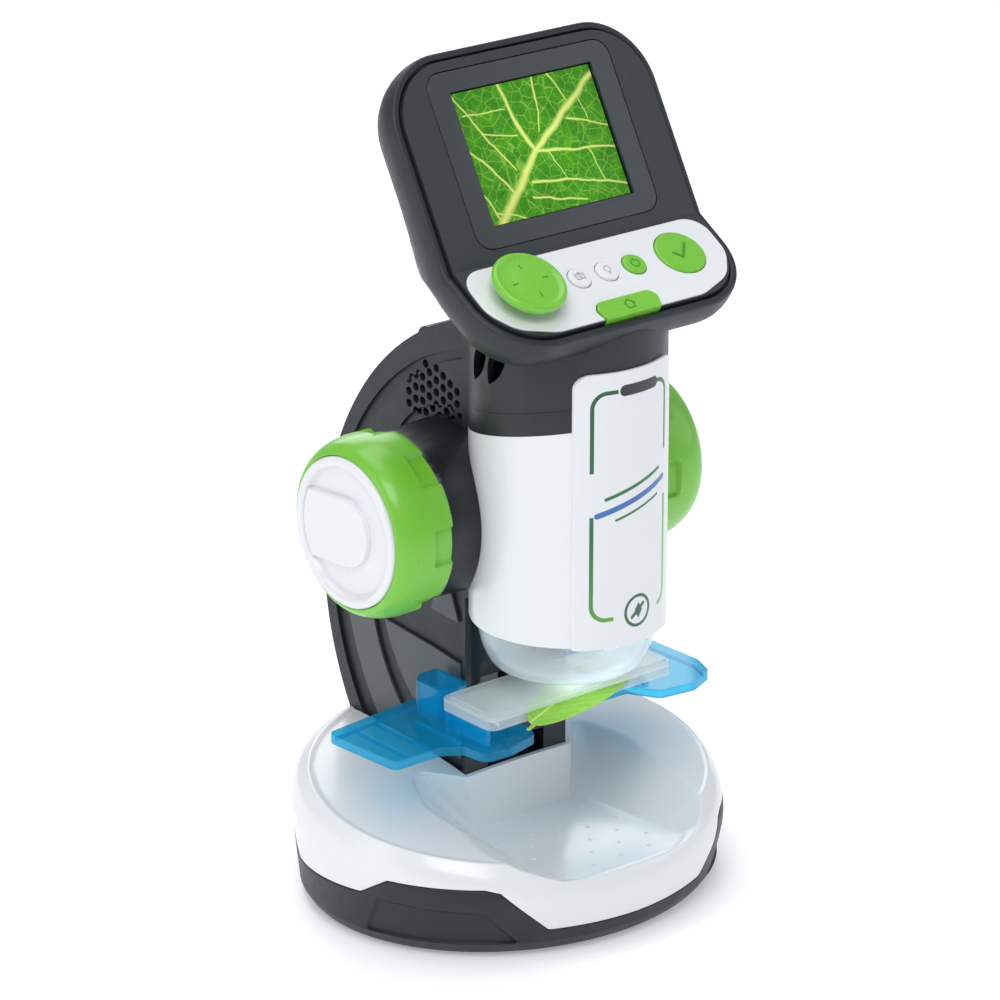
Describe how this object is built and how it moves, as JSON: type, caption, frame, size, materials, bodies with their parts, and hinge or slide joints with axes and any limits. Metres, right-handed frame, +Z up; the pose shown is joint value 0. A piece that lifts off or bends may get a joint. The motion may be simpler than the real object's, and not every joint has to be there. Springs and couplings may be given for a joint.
{
  "type": "kids microscope",
  "caption": "Child's digital microscope: round base with specimen tray, curved arm, barrel with clear light shroud, tilted screen head, sliding stage and side focus knobs.",
  "frame": {"origin": "centre of the footprint, on the surface the feet stand on", "axes": "+X to the object's right, -Y to the front (the side the screen faces), +Z up"},
  "size_m": [0.1248, 0.1164, 0.2405],
  "materials": {
    "charcoal": "fine spark-eroded texture",
    "white": "smooth, slightly cool white",
    "green": "satin bright green",
    "black": "satin black",
    "grey": "satin mid grey",
    "blue_clear": "translucent cyan blue",
    "clear": "clear moulded plastic",
    "lens_glass": "coated lens",
    "slate": "dark glossy",
    "display": "lit display",
    "board": "solder mask",
    "steel": "zinc plated",
    "bronze": "sintered bronze",
    "acetal": "natural acetal",
    "rubber": "matt",
    "cell": "printed sleeve",
    "lead": "insulated wire",
    "leaf": "fresh leaf"
  },
  "bodies": {
    "housing": {"base_lower_shell": "charcoal", "base_upper_shell": "white", "battery_door": "charcoal", "battery_door_screw": "steel", "battery_cells": "cell", "battery_contacts": "steel", "rubber_feet": "rubber", "base_screws": "steel", "arm_base_bracket": "steel", "arm_left_shell": "charcoal", "arm_right_shell": "charcoal", "arm_screws": "steel", "arm_inlay_left": "grey", "arm_inlay_right": "grey", "neck_left_shell": "charcoal", "neck_right_shell": "charcoal", "neck_ring": "black", "speaker": "black", "guide_rods": "steel", "power_lead": "lead", "focus_hub_left": "black", "focus_hub_right": "black", "shaft_bushes": "bronze", "barrel_shell": "white", "front_shield": "white", "light_shroud": "clear", "camera_mount": "black", "camera_board": "board", "objective_housing": "grey", "objective_lens": "lens_glass", "led_ring": "board", "head_rear_shell": "charcoal", "head_front_bezel": "charcoal", "screen_frame": "slate", "lcd_panel": "display", "main_board": "board", "head_screws": "steel", "panel_insert": "white", "keypad_board": "board", "dpad_mount": "black"},
    "focus": {"focus_shaft": "steel", "focus_pinion": "acetal", "focus_knob_left": "green", "focus_knob_right": "green", "knob_cap_left": "white", "knob_cap_right": "white"},
    "stage": {"focus_rack": "acetal", "stage_carriage": "black", "stage_plate": "blue_clear", "stage_screws": "steel"},
    "slide": {"slide_tray": "clear", "slide_cover": "clear", "leaf_specimen": "leaf"},
    "ok_key": {"ok_button": "green"},
    "power_key": {"power_button": "green"},
    "light_key": {"light_button": "white"},
    "menu_key": {"menu_button": "white"},
    "home_key": {"home_button": "green"},
    "pad_gimbal": {"dpad_gimbal": "black"},
    "pad": {"dpad": "green"}
  },
  "joints": [
    {"name": "focus_turn", "type": "hinge", "parent": "housing", "child": "focus", "pos_m": [0, 0.0026, 0.1136], "axis": [1, 0, 0], "range_deg": [-100, 55]},
    {"name": "stage_lift", "type": "slide", "parent": "housing", "child": "stage", "axis": [0, 0, 1], "range_m": [-0.0101, 0.0056]},
    {"name": "slide_pull", "type": "slide", "parent": "stage", "child": "slide", "axis": [0, -1, 0], "range_m": [0, 0.024]},
    {"name": "ok_press", "type": "slide", "parent": "housing", "child": "ok_key", "axis": [0, 0.515, -0.8572], "range_m": [0, 0.0009], "stiffness_N_per_m": 900, "springref_m": -0.0004},
    {"name": "power_press", "type": "slide", "parent": "housing", "child": "power_key", "axis": [0, 0.515, -0.8572], "range_m": [0, 0.0009], "stiffness_N_per_m": 900, "springref_m": -0.0004},
    {"name": "light_press", "type": "slide", "parent": "housing", "child": "light_key", "axis": [0, 0.515, -0.8572], "range_m": [0, 0.0009], "stiffness_N_per_m": 900, "springref_m": -0.0004},
    {"name": "menu_press", "type": "slide", "parent": "housing", "child": "menu_key", "axis": [0, 0.515, -0.8572], "range_m": [0, 0.0009], "stiffness_N_per_m": 900, "springref_m": -0.0004},
    {"name": "home_press", "type": "slide", "parent": "housing", "child": "home_key", "axis": [0, 0.515, -0.8572], "range_m": [0, 0.0009], "stiffness_N_per_m": 900, "springref_m": -0.0004},
    {"name": "pad_tilt_up_down", "type": "hinge", "parent": "housing", "child": "pad_gimbal", "pos_m": [-0.0272, -0.03539, 0.17876], "axis": [1, 0, 0], "range_deg": [-7, 7], "stiffness_Nm_per_rad": 0.05},
    {"name": "pad_tilt_left_right", "type": "hinge", "parent": "pad_gimbal", "child": "pad", "pos_m": [-0.0272, -0.03539, 0.17876], "axis": [0, 0.8572, 0.515], "range_deg": [-7, 7], "stiffness_Nm_per_rad": 0.05}
  ],
  "couplings": [
    {"joint": "stage_lift", "follows": "focus_turn", "m_per_rad": 0.0056}
  ]
}
